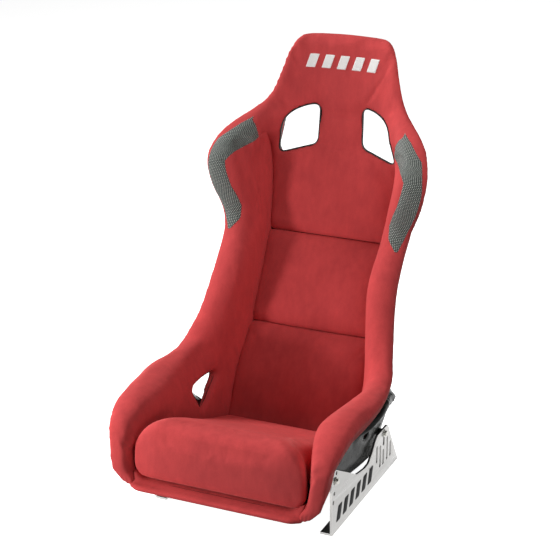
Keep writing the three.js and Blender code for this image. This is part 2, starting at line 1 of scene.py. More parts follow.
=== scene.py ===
"""A fixed-back racing bucket seat: velour pads over a glass-fibre shell, on bright side mounts."""
import json
import math
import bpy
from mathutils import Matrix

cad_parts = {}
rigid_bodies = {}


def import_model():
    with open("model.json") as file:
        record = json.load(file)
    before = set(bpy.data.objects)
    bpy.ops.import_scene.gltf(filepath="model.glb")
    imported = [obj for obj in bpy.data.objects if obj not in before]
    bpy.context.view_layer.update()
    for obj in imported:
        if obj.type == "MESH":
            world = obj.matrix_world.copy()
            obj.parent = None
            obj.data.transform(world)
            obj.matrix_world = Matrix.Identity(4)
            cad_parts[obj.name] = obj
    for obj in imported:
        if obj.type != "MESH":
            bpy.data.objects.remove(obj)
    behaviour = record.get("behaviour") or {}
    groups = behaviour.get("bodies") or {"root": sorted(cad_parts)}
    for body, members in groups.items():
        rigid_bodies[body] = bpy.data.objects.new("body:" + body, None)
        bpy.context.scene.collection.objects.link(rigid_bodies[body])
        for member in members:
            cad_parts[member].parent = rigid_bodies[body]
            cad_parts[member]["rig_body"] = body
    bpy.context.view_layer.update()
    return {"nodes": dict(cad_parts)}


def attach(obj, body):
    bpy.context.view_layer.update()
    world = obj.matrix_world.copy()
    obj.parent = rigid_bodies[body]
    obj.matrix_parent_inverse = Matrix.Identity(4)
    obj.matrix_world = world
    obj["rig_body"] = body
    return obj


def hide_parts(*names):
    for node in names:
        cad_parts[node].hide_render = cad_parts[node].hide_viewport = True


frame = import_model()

from types import SimpleNamespace

import bmesh
import bpy
import numpy as np
from mathutils import Vector
from mathutils.bvhtree import BVHTree
from mathutils.kdtree import KDTree

MM = 0.001
DOT_PITCH = 4.4 * MM  # between two holes of one row of the shoulder mesh
ROW_PITCH = DOT_PITCH * math.sqrt(3)
DOT_EDGE = (0.19 * DOT_PITCH, 0.30 * DOT_PITCH)  # a hole's radius, where its edge starts and where it ends
MIDDLE_Y = 30.96  # the frame's origin lies this far behind the one that the sizes below use

# ---- Camera, light and floor ----

camera_data = bpy.data.cameras.new("camera")
camera_data.lens = 102.5
camera_data.sensor_width = 36
camera = bpy.data.objects.new("camera", camera_data)
camera.location = (1.3428, -3.0325, 1.7069)
camera.rotation_euler = Vector((-0.3821, 0.8562, -0.3478)).to_track_quat("-Z", "Y").to_euler()
bpy.context.collection.objects.link(camera)
bpy.context.scene.camera = camera
bpy.context.scene.view_settings.view_transform = "Standard"


def soft_light(name, place, target, size, power):
    data = bpy.data.lights.new(name, "AREA")
    data.shape = "DISK"
    data.size = size
    data.energy = power
    light = bpy.data.objects.new(name, data)
    light.location = place
    light.rotation_euler = (Vector(target) - Vector(place)).to_track_quat("-Z", "Y").to_euler()
    bpy.context.collection.objects.link(light)


soft_light("side", (-3.0, 0.2, 2.6), (0, 0, 0.55), 1.5, 152)
soft_light("head", (0.73, -0.22, 1.56), (0, 0.2, 0.85), 0.6, 7)
soft_light("front_left", (-0.9, -1.1, 0.24), (0, -0.1, 0.3), 0.25, 13)
soft_light("front_right", (1.4, -1.6, 0.7), (0, -0.1, 0.3), 0.8, 6)

world = bpy.data.worlds.new("studio")
world.use_nodes = True
world.node_tree.nodes["Background"].inputs["Color"].default_value = (1, 1, 1, 1)
world.node_tree.nodes["Background"].inputs["Strength"].default_value = 0.05
bpy.context.scene.world = world

FLOOR_SIZE = 600
FLOOR_DROP = 0.5 * MM  # how far the floor lies under the side mounts, so that the faces don't coincide
bpy.ops.mesh.primitive_plane_add(size=FLOOR_SIZE, location=(0, 0, -FLOOR_DROP))
floor = bpy.context.object
floor.name = "floor"
floor.visible_diffuse = False  # a white floor would wash out the shade under the padding

# ---- Materials ----


class Nodes:
    def __init__(self, name):
        self.material = bpy.data.materials.new(name)
        self.material.use_nodes = True
        self.tree = self.material.node_tree
        self.shader = self.tree.nodes["Principled BSDF"]
        self.place = self.add("ShaderNodeTexCoord").outputs["Object"]

    def add(self, kind, sockets=None, **values):
        """A new node with its settings, and what goes into its sockets."""
        node = self.tree.nodes.new(kind)
        for key, value in values.items():
            setattr(node, key, value)
        for key, value in (sockets or {}).items():
            self.put(value, node.inputs[key])
        return node

    def put(self, value, socket):
        """Give a socket another node's output, a colour, a vector or a number."""
        if hasattr(value, "is_output"):
            self.tree.links.new(value, socket)
        elif hasattr(value, "__len__"):
            socket.default_value = (*value, 1)[: len(socket.default_value)]
        else:
            socket.default_value = value

    def set(self, **values):
        """Set the shader's inputs by name, with _ for a space."""
        for key, value in values.items():
            self.put(value, self.shader.inputs[key.replace("_", " ")])

    def noise(self, scale, detail=3.0, rough=0.5, stretch=None):
        place = self.place
        if stretch:
            mapping = self.add("ShaderNodeMapping", {"Scale": stretch, "Vector": place})
            place = mapping.outputs["Vector"]
        sockets = {"Scale": scale, "Detail": detail, "Roughness": rough, "Vector": place}
        return self.add("ShaderNodeTexNoise", sockets).outputs["Fac"]

    def ramp(self, value, low, high, a=0.0, b=1.0):
        """The value moved from the range low to high into the range a to b."""
        sockets = {"Value": value, "From Min": low, "From Max": high, "To Min": a, "To Max": b}
        return self.add("ShaderNodeMapRange", sockets).outputs["Result"]

    def mix(self, factor, a, b):
        return self.add("ShaderNodeMix", {"Factor": factor, 6: a, 7: b}, data_type="RGBA").outputs[2]

    def vector(self, kind, a, b=(0, 0, 0), output="Vector"):
        return self.add("ShaderNodeVectorMath", {0: a, 1: b}, operation=kind).outputs[output]

    def math(self, kind, a, b):
        return self.add("ShaderNodeMath", {0: a, 1: b}, operation=kind).outputs[0]

    def bump(self, height, strength, distance):
        node = self.add("ShaderNodeBump", {"Strength": strength, "Distance": distance, "Height": height})
        before = self.shader.inputs["Normal"].links
        if before:
            self.put(before[0].from_socket, node.inputs["Normal"])
        self.put(node.outputs["Normal"], self.shader.inputs["Normal"])


def velour(m):
    """Short-pile velour: brushed patches of nap, fine pile and a pink sheen at grazing angles."""
    nap = m.noise(14, 4, 0.55)
    brushed = m.noise(60, 3, 0.6, (1, 1, 0.35))
    pile = m.noise(900, 2, 0.7)
    tone = m.math("ADD", m.ramp(nap, 0.3, 0.7, 0, 0.5), m.ramp(brushed, 0.3, 0.7, 0, 0.5))
    base = m.mix(tone, [0.48, 0.050, 0.052], [0.66, 0.074, 0.074])
    fine = m.mix(m.ramp(pile, 0.25, 0.75), [0.32, 0.030, 0.032], base)
    fine = m.mix(0.6, fine, base)
    m.set(Base_Color=fine, Roughness=m.ramp(nap, 0.3, 0.7, 0.86, 0.96))
    m.set(Specular_IOR_Level=0.15, Sheen_Weight=0.35, Sheen_Roughness=0.42, Sheen_Tint=[1.0, 0.30, 0.28])
    m.bump(brushed, 0.12, 0.0012)
    m.bump(pile, 0.35, 0.0005)


def spotted_mesh(m):
    """Dark spacer mesh with staggered rows of round holes that show a paler backing."""
    weave = m.add("ShaderNodeAttribute", attribute_name="weave").outputs["Vector"]
    distances = []
    for shift in ((0, 0, 0), (0.5, 0.5, 0)):
        scaled = m.vector("DIVIDE", weave, (DOT_PITCH, ROW_PITCH, 1))
        cell = m.vector("FRACTION", m.vector("ADD", scaled, shift))
        centred = m.vector("SUBTRACT", cell, (0.5, 0.5, 0))
        flat = m.vector("MULTIPLY", centred, (DOT_PITCH, ROW_PITCH, 0))
        distances.append(m.vector("LENGTH", flat, output="Value"))
    hole = m.ramp(m.math("MINIMUM", *distances), *DOT_EDGE)
    yarn = m.noise(1400, 2, 0.6)
    cloud = m.noise(20, 3, 0.6)
    dark = m.mix(yarn, [0.006, 0.010, 0.008], [0.030, 0.040, 0.035])
    dot = m.mix(cloud, [0.34, 0.37, 0.33], [0.52, 0.54, 0.49])
    m.set(Base_Color=m.mix(hole, dot, dark), Roughness=m.ramp(yarn, 0.3, 0.7, 0.55, 0.8))
    m.set(Sheen_Weight=0.15)
    m.bump(hole, 0.7, 0.0008)
    m.bump(yarn, 0.25, 0.0002)


def gelcoat(m):
    """Black gelcoat: glossy, with a faint ripple and the odd speck."""
    ripple = m.noise(24, 3, 0.5)
    specks = m.noise(700, 2, 0.5)
    m.set(Base_Color=m.mix(ripple, [0.006, 0.007, 0.006], [0.016, 0.018, 0.016]))
    m.set(Roughness=m.ramp(m.noise(90, 4, 0.6), 0.3, 0.75, 0.16, 0.34))
    m.set(Specular_IOR_Level=0.05, Coat_Weight=0.04, Coat_Roughness=0.08)
    m.bump(ripple, 0.10, 0.004)
    m.bump(specks, 0.05, 0.0004)


def bright_alloy(m):
    """Polished aluminium sheet with fine lines along its length and dulled smears."""
    lines = m.noise(500, 3, 0.6, (1, 0.03, 1))
    smears = m.noise(18, 5, 0.6)
    m.set(Base_Color=m.mix(smears, [0.38, 0.376, 0.368], [0.52, 0.512, 0.50]), Metallic=1.0)
    m.set(Roughness=m.math("ADD", m.ramp(smears, 0.3, 0.7, 0.22, 0.36), m.ramp(lines, 0.3, 0.7, 0, 0.08)))
    m.bump(lines, 0.06, 0.0003)


def zinc(m):
    cloud = m.noise(160, 4, 0.6)
    m.set(Base_Color=m.mix(cloud, [0.40, 0.40, 0.38], [0.66, 0.65, 0.60]), Metallic=1.0)
    m.set(Roughness=m.ramp(cloud, 0.3, 0.7, 0.25, 0.45))
    m.bump(m.noise(900, 2, 0.5), 0.1, 0.0002)


def moulded(m):
    grain = m.noise(1200, 2, 0.6)
    m.set(Base_Color=m.mix(m.noise(40, 3), [0.015, 0.015, 0.015], [0.027, 0.027, 0.0255]))
    m.set(Roughness=m.ramp(grain, 0.3, 0.7, 0.42, 0.6))
    m.bump(grain, 0.2, 0.0002)


def tape(m):
    hooks = m.noise(1500, 2, 0.8)
    m.set(Base_Color=m.mix(hooks, [0.006, 0.006, 0.006], [0.03, 0.03, 0.03]), Roughness=0.95)
    m.bump(hooks, 0.8, 0.0006)


def thread(m):
    """Satin-stitched thread: fine glossy ridges that run across the mark."""
    weave = m.add("ShaderNodeAttribute", attribute_name="weave").outputs["Vector"]
    sockets = {"Scale": 260, "Distortion": 1.5, "Vector": weave}
    ridges = m.add("ShaderNodeTexWave", sockets, bands_direction="Y")
    fleck = m.noise(500, 3, 0.6)
    m.set(Base_Color=m.mix(fleck, [0.736, 0.7268, 0.6992], [0.92, 0.92, 0.9016]))
    m.set(Roughness=m.ramp(fleck, 0.3, 0.7, 0.4, 0.6))
    m.bump(ridges.outputs["Fac"], 0.5, 0.0004)


def paint(m):
    """Black paint printed on metal, a little worn in small patches."""
    wear = m.noise(300, 5, 0.7)
    m.set(Base_Color=m.mix(m.ramp(wear, 0.62, 0.72), [0.012, 0.012, 0.013], [0.08, 0.08, 0.08]))
    m.set(Roughness=m.ramp(wear, 0.3, 0.7, 0.5, 0.7))
    m.set(Specular_IOR_Level=0.12)
    m.bump(wear, 0.1, 0.0001)


def material(name, look):
    nodes = Nodes(name)
    look(nodes)
    return nodes.material


RED = material("red_velour", velour)
THREAD = material("white_thread", thread)
PAINT = material("black_paint", paint)
MESH = material("spotted_mesh", spotted_mesh)
GELCOAT = material("black_gelcoat", gelcoat)
ALLOY = material("polished_alloy", bright_alloy)
ZINC = material("zinc_steel", zinc)
TRIM = material("black_trim", moulded)
TAPE = material("hook_tape", tape)


def pale_floor(m):
    """Pale studio floor, lit evenly from within so that it stays white all round the seat."""
    m.set(Base_Color=m.mix(m.noise(3), [0.93, 0.93, 0.93], [0.96, 0.96, 0.96]), Roughness=0.9)
    m.set(Specular_IOR_Level=0.1, Emission_Color=[1, 1, 1], Emission_Strength=0.9)


floor.data.materials.append(material("pale_floor", pale_floor))

# ---- The seat's sections ----

# Planes across the seat, from the front lip along the pan, round the hip and up the back. The sizes are
#   y, z    the padded face on the centre line; along the pan, the shell's inner face
#   lean    the plane's tilt from upright, towards the front, in degrees
#   seam    half-width of the centre panel; lift: how far its edge stands above the centre line
#   belly   x of the bolster's inner wall, a little over halfway up
#   inner, outer, rise: the crest's two edges and its height
#   foam    padding under the centre line; floor, wall: half-width of the shell's bottom and of its side
#   join    where the cover ends on the shell's outside, as a share of the way from the middle to the rim
FIELDS = "y z lean seam lift belly inner outer rise foam floor wall join".split()
STATIONS = [
    (-338, 112, 0, 205, 8, 219, 222, 244, 18, 0, 190, 212, 0.93),
    (-334, 112, 0, 205, 8, 217, 220, 253, 55, 0, 190, 216, 0.85),
    (-322, 112, 0, 205, 8, 214, 218, 261, 109, 0, 190, 218, 0.75),
    (-300, 110, 0, 198, 8, 208, 212, 268, 134, 0, 190, 216, 0.7),
    (-265, 104, 0, 190, 8, 198, 200, 274, 164, 0, 186, 208, 0.72),
    (-228, 98, 0, 182, 8, 187, 191, 275, 178, 0, 182, 200, 0.79),
    (-206, 95, 1, 179, 8, 183, 190, 276, 185, 0, 181, 198, 0.88),
    (-150, 84, 4, 178, 8, 182, 194, 279, 198, 0, 180, 198, 0.9),
    (-90, 73, 7, 178, 8, 182, 204, 283, 211, 0, 180, 198, 0.9),
    (-30, 63, 11, 178, 8, 182, 211, 281, 223, 0, 180, 198, 0.9),
    (25, 59, 16, 176, 8, 182, 216, 276, 230, 3, 180, 198, 0.9),
    (68, 72, 21, 171, 6, 182, 217, 272, 225, 21, 180, 198, 0.9),
    (88, 108, 25, 168, 4, 182, 216, 268, 196, 53, 182, 198, 0.9),
    (101, 155, 30, 166, 3, 184, 212, 266, 157, 78, 182, 198, 0.89),
    (118, 205, 40, 163, 2, 182, 206, 262, 126, 76, 180, 203, 0.88),
    (145, 252, 53, 158, 4, 176, 198, 255, 116, 58, 170, 200, 0.88),
    (179, 302, 60, 152, 6, 164, 182, 242, 117, 42, 160, 190, 0.88),
    (232, 404, 63, 149, 8, 152, 159, 228, 119, 30, 152, 181, 0.88),
    (284, 503, 66, 150, 8, 156, 171, 230, 99, 27, 150, 182, 0.88),
    (316, 585, 80, 157, 8, 168, 186, 258, 132, 26, 156, 196, 0.88),
    (336, 655, 86, 164, 13, 181, 197, 272, 157, 26, 160, 208, 0.88),
    (347, 700, 89, 164, 38, 180, 200, 272, 157, 26, 158, 206, 0.88),
    (352, 735, 90, 160, 62, 172, 196, 259, 133, 26, 150, 192, 0.88),
    (356, 768, 90, 154, 58, 168, 184, 229, 90, 26, 132, 170, 0.88),
    (358, 798, 91, 142, 34, 153, 160, 187, 52, 26, 112, 144, 0.88),
    (361, 828, 88, 128, 20, 136, 140, 164, 33, 26, 98, 126, 0.88),
    (366, 872, 85, 116, 13, 124, 127, 148, 25, 26, 88, 114, 0.88),
    (373, 915, 82, 104, 8, 112, 115, 137, 17, 25, 78, 104, 0.88),
    (379, 957, 79, 92, 1, 100, 104, 118, 5, 22, 70, 92, 0.88),
]
LAST = len(STATIONS) - 1
NOSE_END = 1.8  # the stations, by number, where one part of the seat passes into the next
HIP = 11
LOWER_SEAM = 16
UPPER_SEAM = 18
SHOULDER = 22
CROWN = 27
SHELL_T = 4  # thickness of the shell's wall
COVER_T = 8  # thickness of the cover and its foam where they end on the outside of the shell
UNDER = 1.2  # how far the padding's underside is buried in the shell's wall
TOP_BOW = 9  # how far the head's top edge bows up between its corners, and where that starts
BOW_START = 915
BOW_LENGTH = 42
NOSE_FOAM = 8  # extra padding under the two front corners, and where that starts
NOSE_FOAM_START = -265
NOSE_FOAM_LENGTH = 40
NOSE_TUCK = 11  # how far a front corner's inner edge covers the end of the front lip
SEAM_DIP = 7  # how far the seams draw the padding down, and over what distance
SEAM_SOFT = 12
CROSS_DIP = 9  # the same for the two cross seams of the back
CROWN_ROUND = 17  # radius of the roll along the head's top edge
LINE_STEPS = 5  # points from one given point of a section's bolster to the next
WALL_STEPS = 6  # the same for its centre panel and its shell


def hermite(values, u):
    """A smooth curve through values at whole numbers, read at u."""
    v = np.asarray(values, float)
    i = np.clip(np.floor(u).astype(int), 0, len(v) - 2)
    t = (u - i)[:, None]

    def at(k):
        return v[np.clip(k, 0, len(v) - 1)]

    a, b = at(i), at(i + 1)
    start, end = (b - at(i - 1)) / 2, (at(i + 2) - a) / 2
    from_a = a * (1 + 2 * t) * (1 - t) ** 2 + start * t * (1 - t) ** 2
    return from_a + b * (3 - 2 * t) * t**2 - end * t**2 * (1 - t)


def blurred(rows, sigma):
    """Rows eased along their length, with the two ends held."""
    reach = int(3 * sigma)
    weights = np.exp(-0.5 * (np.arange(-reach, reach + 1) / sigma) ** 2)
    before = 2 * rows[0] - rows[reach:0:-1]
    after = 2 * rows[-1] - rows[-2 : -reach - 2 : -1]
    longer = np.concatenate([before, rows, after])
    return np.stack([np.convolve(c, weights / weights.sum(), "valid") for c in longer.T], -1)


FINE_STEP = 0.05
STATION_BLUR = 0.3  # how far the stations are eased into each other, as a share of the way between two
fine_u = np.arange(0, LAST + FINE_STEP / 2, FINE_STEP)
fine_stations = blurred(hermite(STATIONS, fine_u), STATION_BLUR / FINE_STEP)
fine_steps = np.linalg.norm(np.diff(fine_stations[:, :2], axis=0), axis=1)
fine_distance = np.concatenate([[0], np.cumsum(fine_steps)])


def station_at(u):
    """The section's sizes at station u, which may lie between two of the list."""
    row = [np.interp(u, fine_u, column) for column in fine_stations.T]
    return SimpleNamespace(u=u, **dict(zip(FIELDS, row)))


def clipped(value):
    return min(max(value, 0.0), 1.0)


def eased(value):
    """From 0 to 1 with a soft start and end."""
    t = np.clip(value, 0, 1)
    return t * t * (3 - 2 * t)


def side_dip(s, distance):
    """How far the long seam draws the face down, at a distance from it."""
    share = clipped(s.u - HIP + 1) * clipped((SHOULDER - 0.2 - s.u) / 0.9)
    return SEAM_DIP * share * np.exp(-((np.asarray(distance) / SEAM_SOFT) ** 2))


def cross_dip(s):
    """How far the nearer of the back's two cross seams draws the face down."""
    here = np.interp(s.u, fine_u, fine_distance)
    gap = min(abs(here - np.interp(seam, fine_u, fine_distance)) for seam in (LOWER_SEAM, UPPER_SEAM))
    return CROSS_DIP * math.exp(-((gap / SEAM_SOFT) ** 2))


def place(s, line):
    """A section's [x, n] points as points of the frame, in metres."""
    lean = math.radians(s.lean)
    line = np.asarray(line, float)
    y = s.y - MIDDLE_Y - line[:, 1] * math.sin(lean)
    bow = TOP_BOW * clipped((s.z - BOW_START) / BOW_LENGTH) * (1 - (line[:, 0] / s.outer) ** 2)
    return np.stack([line[:, 0], y, s.z + line[:, 1] * math.cos(lean) + bow], -1) * MM


def smooth(points, steps):
    """Points along a smooth line (centripetal Catmull-Rom) through 2-D points."""
    p = np.asarray(points, float)
    p = np.concatenate([[2 * p[0] - p[1]], p, [2 * p[-1] - p[-2]]])
    line = []
    for a, b, c, d in zip(p, p[1:], p[2:], p[3:]):
        t1 = np.linalg.norm(b - a) ** 0.5
        t2 = t1 + np.linalg.norm(c - b) ** 0.5
        t3 = t2 + np.linalg.norm(d - c) ** 0.5
        t = np.linspace(t1, t2, steps + 1)[:-1, None]
        a1 = a + (b - a) * t / t1
        a2 = b + (c - b) * (t - t1) / (t2 - t1)
        a3 = c + (d - c) * (t - t2) / (t3 - t2)
        b1 = a1 + (a2 - a1) * t / t2
        b2 = a2 + (a3 - a2) * (t - t1) / (t3 - t1)
        line.extend(b1 + (b2 - b1) * (t - t1) / (t2 - t1))
    return np.array([*line, p[-2]])


def panel_line(s):
    points = [[0, 0], [0.42 * s.seam, 0.04 * s.lift], [0.8 * s.seam, 0.55 * s.lift], [s.seam, s.lift]]
    line = smooth(points, WALL_STEPS)
    line[:, 1] -= side_dip(s, s.seam - line[:, 0])
    return line


def bolster_line(s):
    """The face of the bolster, from its seam up over the crest to its outer edge."""
    height, width = s.rise - s.lift, s.outer - s.inner
    small = min(width, height)
    points = [
        [s.seam, s.lift],
        [0.4 * s.seam + 0.6 * s.belly, s.lift + 0.28 * height],
        [s.belly, s.lift + 0.58 * height],
        [s.inner, s.rise - 0.18 * small],
        [s.inner + 0.22 * width, s.rise - 0.03 * small],
        [s.inner + 0.6 * width, s.rise + 0.02 * small],
        [s.outer - 0.06 * width, s.rise - 0.08 * small],
        [s.outer, s.rise - 0.2 * small],
        [s.outer - 0.16 * width, s.rise - 0.42 * small],
    ]
    line = smooth(points, LINE_STEPS)
    line[:, 1] -= side_dip(s, np.linalg.norm(line - line[0], axis=1))
    return line


def moved(line, out):
    along = np.gradient(line, axis=0)
    along /= np.linalg.norm(along, axis=1)[:, None]
    there = line + out * np.stack([along[:, 1], -along[:, 0]], -1)
    there[line[:, 0] == 0, 0] = 0
    return there


def shell_line(s, out=0.0):
    """The shell's inner face from the middle to the rim, moved outwards by a distance."""
    width = s.outer - s.inner
    depth = min(width, s.rise - s.lift + 12)
    rim = [s.inner + 0.6 * width, s.rise - 0.42 * depth]
    bottom, floor_x, wall = -s.foam, s.floor, s.wall
    height = rim[1] - bottom
    points = [
        [0, bottom],
        [0.5 * floor_x, bottom],
        [floor_x - 12, bottom + 0.5],
        [floor_x + 0.62 * (wall - floor_x), bottom + min(12, 0.16 * height)],
        [wall, bottom + min(34, 0.34 * height)],
        [wall + 0.12 * (rim[0] - wall), bottom + 0.6 * height],
        [wall + 0.55 * (rim[0] - wall), bottom + 0.83 * height],
        rim,
    ]
    return moved(smooth(points, WALL_STEPS), out)


def point_at(line, u):
    """The point at place u of a line, counted in its points."""
    i = min(int(u), len(line) - 2)
    return line[i] + (u - i) * (line[i + 1] - line[i])


def kept(line, start, end):
    """The stretch of a line between two places, with as many points."""
    return np.array([point_at(line, u) for u in np.linspace(start, end, len(line))])


def index_at_share(line, share):
    """The place that lies a share of the way along a line."""
    steps = np.linalg.norm(np.diff(line, axis=0), axis=1)
    reached = np.concatenate([[0], np.cumsum(steps)]) / steps.sum()
    return float(np.interp(share, reached, np.arange(len(line))))


def index_at_x(line, x):
    i = int(np.argmax(line[:, 0] > x)) - 1
    return i + (x - line[i, 0]) / (line[i + 1, 0] - line[i, 0])


def nose_share(s):
    """How far a section is into the two front corners, where the foam is thicker."""
    return clipped((NOSE_FOAM_START - s.y) / NOSE_FOAM_LENGTH)


def cover_line(s):
    return shell_line(s, SHELL_T + COVER_T + NOSE_FOAM * nose_share(s))


def hem_line(s):
    """The cover from the bolster's outer edge round the rim to where it ends on the shell."""
    hem = point_at(cover_line(s), index_at_share(shell_line(s), s.join))
    edge = bolster_line(s)[-1]
    swell = nose_share(s)
    middle = (hem + edge) / 2 + [2 + 6 * swell, -2 * swell]
    return smooth([edge, middle, hem], 5)[1:]


def under_line(s, x):
    """The padding's underside, buried in the shell's wall, from the hem back to half-width x."""
    line = shell_line(s, UNDER)
    end = index_at_share(shell_line(s), s.join)
    return kept(line, 0 if x == 0 else index_at_x(line, x), end)[::-1]


# ---- Meshes ----

STUFFING_FRAMES = 20
STUFFING = {
    "quality": 5, "mass": 0.3, "tension_stiffness": 20, "compression_stiffness": 8, "shear_stiffness": 6,
    "bending_stiffness": 0.6, "use_pressure": True, "uniform_pressure_force": 4.0,
}


def make_object(name, points, faces, look, body="seat"):
    mesh = bpy.data.meshes.new(name)
    mesh.from_pydata([tuple(p) for p in points], [], [tuple(f) for f in faces])
    mesh.validate()
    mesh.materials.append(look)
    piece = bpy.data.objects.new(name, mesh)
    bpy.context.collection.objects.link(piece)
    fix_normals(piece)
    if body:
        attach(piece, body)
    return piece


def shaded_smooth(piece):
    piece.data.polygons.foreach_set("use_smooth", [True] * len(piece.data.polygons))


def fix_normals(piece):
    bm = bmesh.new()
    bm.from_mesh(piece.data)
    bmesh.ops.remove_doubles(bm, verts=bm.verts, dist=1e-6)
    bmesh.ops.recalc_face_normals(bm, faces=bm.faces)
    bm.to_mesh(piece.data)
    bm.free()
    shaded_smooth(piece)


def loft(name, rings, look, body="seat", capped=True):
    """One mesh over a row of rings, each an array of points of the same count."""
    rings = [np.asarray(r) for r in rings]
    count = len(rings[0])
    faces = []
    for i in range(len(rings) - 1):
        for j in range(count):
            k = (j + 1) % count
            faces.append((i * count + j, i * count + k, (i + 1) * count + k, (i + 1) * count + j))
    if capped:
        faces.append(tuple(range(count)))
        faces.append(tuple((len(rings) - 1) * count + j for j in range(count)))
    return make_object(name, np.concatenate(rings), faces, look, body)


def sections(ring, start, end, per):
    """Rings, or other parts of sections, at so many places to a station."""
    count = max(2, int(round((end - start) * per)) + 1)
    return [ring(station_at(u)) for u in np.linspace(start, end, count)]


def across(half):
    """A line from one side of the seat to the other, from its left half."""
    return np.concatenate([half[1:][::-1] * [-1, 1], half])


def both_halves(half):
    mirror = half[1:-1][::-1] * [-1, 1]
    return np.concatenate([half, mirror])


def apply_modifiers(piece):
    graph = bpy.context.evaluated_depsgraph_get()
    mesh = bpy.data.meshes.new_from_object(piece.evaluated_get(graph))
    piece.modifiers.clear()
    piece.data = mesh


def modified(piece, kind, **values):
    change = piece.modifiers.new(kind, kind)
    for key, value in values.items():
        setattr(change, key, value)
    apply_modifiers(piece)


def cut(piece, tool, operation="DIFFERENCE"):
    modified(piece, "BOOLEAN", operation=operation, solver="EXACT", object=tool)


def discard(piece):
    bpy.data.objects.remove(piece, do_unlink=True)


def smoothed(piece, times):
    modified(piece, "SMOOTH", factor=0.5, iterations=times)


def remeshed(piece, voxel, ease=9):
    modified(piece, "REMESH", mode="VOXEL", voxel_size=voxel, use_smooth_shade=True)
    smoothed(piece, ease)


def vectors(items, key):
    flat = np.empty(3 * len(items))
    items.foreach_get(key, flat)
    return flat.reshape(-1, 3)


def positions(mesh):
    return vectors(mesh.vertices, "co")


def set_positions(mesh, points):
    mesh.vertices.foreach_set("co", np.ascontiguousarray(points).ravel())
    mesh.update()


def skin_of(*pieces):
    """The surface of some pieces, to measure to."""
    points, faces = [], []
    for piece in pieces:
        start = len(points)
        points += [v.co.copy() for v in piece.data.vertices]
        faces += [[start + i for i in p.vertices] for p in piece.data.polygons]
    return BVHTree.FromPolygons(points, faces)


def met(skin, starts, directions, reach=0.4):
    """Where lines from some points first meet a skin; a line that misses takes its neighbour's distance."""
    hits = [skin.ray_cast(Vector(p), Vector(d), reach)[3] for p, d in zip(starts, directions)]
    found = [i for i, hit in enumerate(hits) if hit is not None]
    distance = np.interp(range(len(hits)), found, [hits[i] for i in found])
    return starts + distance[:, None] * directions


def near_skin(skin, points, reach):
    return np.array([skin.find_nearest(Vector(p), reach)[0] is not None for p in points])


def near_points(marks, points, reach):
    """How far each point is from the marks, as a share of the reach, no more than 1."""
    tree = KDTree(len(marks))
    for i, mark in enumerate(marks):
        tree.insert(mark, i)
    tree.balance()
    return np.array([min(tree.find(p)[2] / reach, 1) for p in points])


def pressed(piece, lines, depth, width):
    points = positions(piece.data)
    share = near_points(np.concatenate(lines), points, 4 * width) * 4
    push = depth * np.exp(-(share**2))
    set_positions(piece.data, points - push[:, None] * vectors(piece.data.vertex_normals, "vector"))


def woven(piece, values):
    layer = piece.data.attributes.new("weave", "FLOAT_VECTOR", "POINT")
    layer.data.foreach_set("vector", np.ascontiguousarray(values, float).ravel())


def mirrored(piece, name):
    mesh = piece.data.copy()
    set_positions(mesh, positions(mesh) * [-1, 1, 1])
    mesh.flip_normals()
    twin = bpy.data.objects.new(name, mesh)
    bpy.context.collection.objects.link(twin)
    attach(twin, piece["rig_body"])
    return twin


def stuffed(piece, held, limit=4 * MM):
    """The piece blown up by its foam: a cloth simulation, kept within a limit."""
    before = positions(piece.data)
    group = piece.vertex_groups.new(name="held")
    for i in np.nonzero(held > 0)[0]:
        group.add([int(i)], float(held[i]), "REPLACE")
    change = piece.modifiers.new("cloth", "CLOTH")
    for key, value in STUFFING.items():
        setattr(change.settings, key, value)
    change.settings.vertex_group_mass = "held"
    change.settings.effector_weights.gravity = 0
    change.collision_settings.use_collision = False
    change.point_cache.frame_start = 1
    change.point_cache.frame_end = STUFFING_FRAMES
    scene = bpy.context.scene
    for n in range(1, STUFFING_FRAMES + 1):
        scene.frame_set(n)
    apply_modifiers(piece)
    scene.frame_set(1)
    step = positions(piece.data) - before
    length = np.linalg.norm(step, axis=1)[:, None]
    step *= limit * np.tanh(length / limit) / np.maximum(length, 1e-9)
    set_positions(piece.data, before + step)
    piece.vertex_groups.clear()
    smoothed(piece, 3)


def finer(piece):
    modified(piece, "SUBSURF", levels=1, render_levels=1)
    shaded_smooth(piece)


def soft_piece(piece, node):
    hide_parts(node)


# ---- Openings in the shell and its padding ----


def rounded(corners, radius, steps=8):
    points = []
    corners = [np.array(c, float) for c in corners]
    for before, here, after in zip(corners[-1:] + corners[:-1], corners, corners[1:] + corners[:1]):
        back, on = before - here, after - here
        back *= min(radius, np.linalg.norm(back) / 2) / np.linalg.norm(back)
        on *= min(radius, np.linalg.norm(on) / 2) / np.linalg.norm(on)
        for t in np.linspace(0, 1, steps + 1):
            points.append((1 - t) ** 2 * (here + back) + 2 * t * (1 - t) * here + t * t * (here + on))
    return np.array(points)


def even(outline, count=96):
    closed = np.concatenate([outline, outline[:1]])
    reached = np.concatenate([[0], np.cumsum(np.linalg.norm(np.diff(closed, axis=0), axis=1))])
    places = np.linspace(0, reached[-1], count + 1)[:-1]
    return np.stack([np.interp(places, reached, c) for c in closed.T], -1)


# The openings' corners: the shoulder-belt slots seen from the front, the lap-belt openings from the side.
SLOT_CORNERS = [(54, 796), (80, 794), (112, 781), (130, 762), (146, 678), (56, 704)]
SLOT_ROUND = 16
LAP_CORNERS = [(-54, 209), (54, 216), (61, 204), (-10, 151), (-22, 153)]
LAP_ROUND = 9


